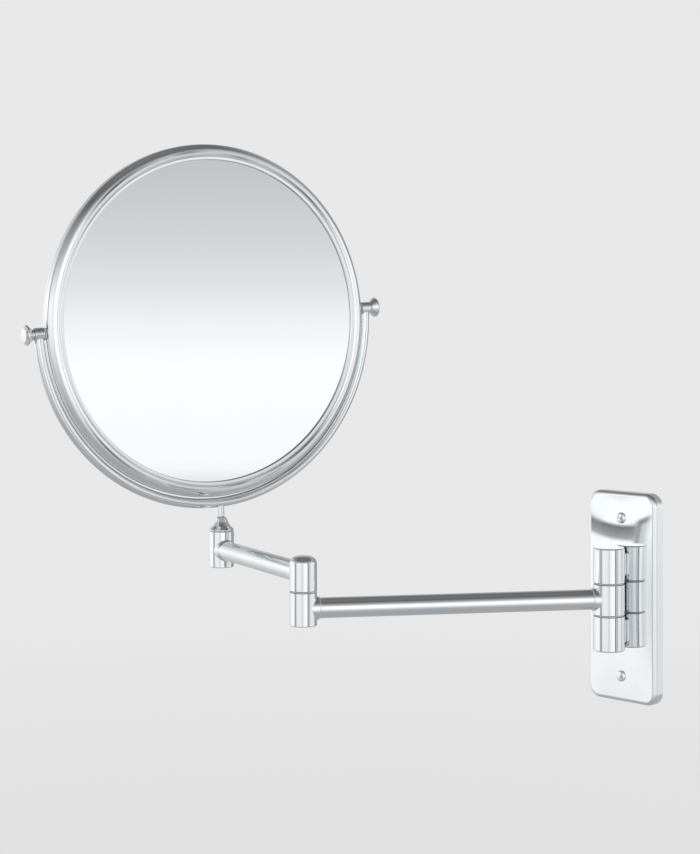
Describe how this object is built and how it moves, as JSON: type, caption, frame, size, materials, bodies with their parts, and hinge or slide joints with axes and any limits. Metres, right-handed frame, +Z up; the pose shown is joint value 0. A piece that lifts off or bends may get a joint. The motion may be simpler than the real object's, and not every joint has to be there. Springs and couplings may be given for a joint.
{
  "type": "extendable shaving mirror",
  "caption": "Round two-sided shaving mirror in a U-shaped yoke on a folding wall arm with upright hinges and a rectangular wall plate, polished chrome.",
  "frame": {"origin": "centre of the wall plate's flat back face", "axes": "+Z up along the wall, -Y out of the wall into the room, +X to the right seen from the room"},
  "size_m": [0.2761, 0.2702, 0.3394],
  "materials": {
    "chrome": "polished",
    "steel": "turned",
    "brass": "turned",
    "mirror": "silvered",
    "nylon": "plain",
    "foam": "matte"
  },
  "bodies": {
    "wall": {"wall_plate": "chrome", "wall_screw_top": "chrome", "wall_screw_bottom": "chrome", "wall_knuckle_top": "chrome", "wall_knuckle_bottom": "chrome", "wall_hinge_pin": "steel", "wall_washer_top": "nylon", "wall_washer_bottom": "nylon"},
    "long_arm": {"long_arm_hub": "chrome", "long_arm_collar_wall": "chrome", "long_arm_tube": "chrome", "long_arm_collar_elbow": "chrome", "elbow_knuckle_lower": "chrome", "elbow_pin": "steel", "elbow_washer": "nylon"},
    "short_arm": {"elbow_knuckle_upper": "chrome", "short_arm_collar_elbow": "chrome", "short_arm_tube": "chrome", "short_arm_collar_head": "chrome", "head_barrel": "chrome"},
    "swivel": {"swivel_spindle": "steel", "swivel_cone": "chrome", "swivel_washer": "nylon", "swivel_screw": "steel"},
    "yoke": {"ball_stud": "chrome", "yoke": "chrome"},
    "mirror": {"frame_front": "chrome", "frame_back": "chrome", "plain_glass": "mirror", "magnifying_glass": "mirror", "backing_pad": "foam", "pivot_nut_right": "brass", "pivot_pin_right": "steel", "pivot_washer_right": "nylon", "pivot_knob_right": "chrome", "pivot_nut_left": "brass", "pivot_pin_left": "steel", "pivot_washer_left": "nylon", "pivot_knob_left": "chrome"}
  },
  "joints": [
    {"name": "wall_swing", "type": "hinge", "parent": "wall", "child": "long_arm", "pos_m": [0, -0.0192, 0], "axis": [0, 0, 1], "range_deg": [-57, 123]},
    {"name": "elbow_fold", "type": "hinge", "parent": "long_arm", "child": "short_arm", "pos_m": [-0.10076, -0.17435, 0], "axis": [0, 0, -1], "range_deg": [-246, 98]},
    {"name": "head_swivel", "type": "hinge", "parent": "short_arm", "child": "swivel", "pos_m": [-0.21552, -0.13927, 0], "axis": [0, 0, 1], "continuous": true},
    {"name": "head_lean", "type": "hinge", "parent": "swivel", "child": "yoke", "pos_m": [-0.21552, -0.13927, 0.0348], "axis": [-0.9755, 0.2198, 0], "range_deg": [-2.2, 9.8]},
    {"name": "mirror_tilt", "type": "hinge", "parent": "yoke", "child": "mirror", "pos_m": [-0.21742, -0.14773, 0.16541], "axis": [0.2194, 0.9734, 0.0663], "continuous": true}
  ]
}
